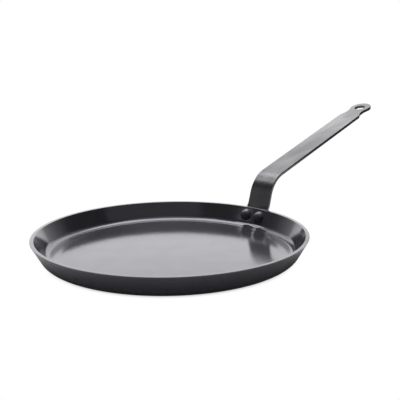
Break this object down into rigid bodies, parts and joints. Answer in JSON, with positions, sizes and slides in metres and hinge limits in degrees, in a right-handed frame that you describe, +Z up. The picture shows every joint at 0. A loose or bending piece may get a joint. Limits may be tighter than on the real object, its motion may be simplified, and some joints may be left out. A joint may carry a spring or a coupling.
{
  "type": "crepe pan",
  "caption": "Low round crepe pan of dark heat-blued steel with a flared wall and a bent flat-bar handle riveted to its back, ending in a hanging eye.",
  "frame": {"origin": "centre of the pan's base, on the pan's axis, in the plane it rests on", "axes": "+X out along the handle from the pan's axis, +Z up out of the pan, +Y across the handle; the XZ plane is the plane of symmetry"},
  "size_m": [0.4409, 0.2404, 0.1087],
  "materials": {
    "pan_steel": "dark blued steel, smooth with a satin gloss",
    "handle_steel": "dark lacquered flat bar, satin, with eased edges",
    "rivet_steel": "black steel, low gloss, hammered set heads"
  },
  "bodies": {
    "root": {"pan_body": "pan_steel", "strip_handle": "handle_steel", "rivet_left": "rivet_steel", "rivet_right": "rivet_steel"}
  },
  "joints": []
}
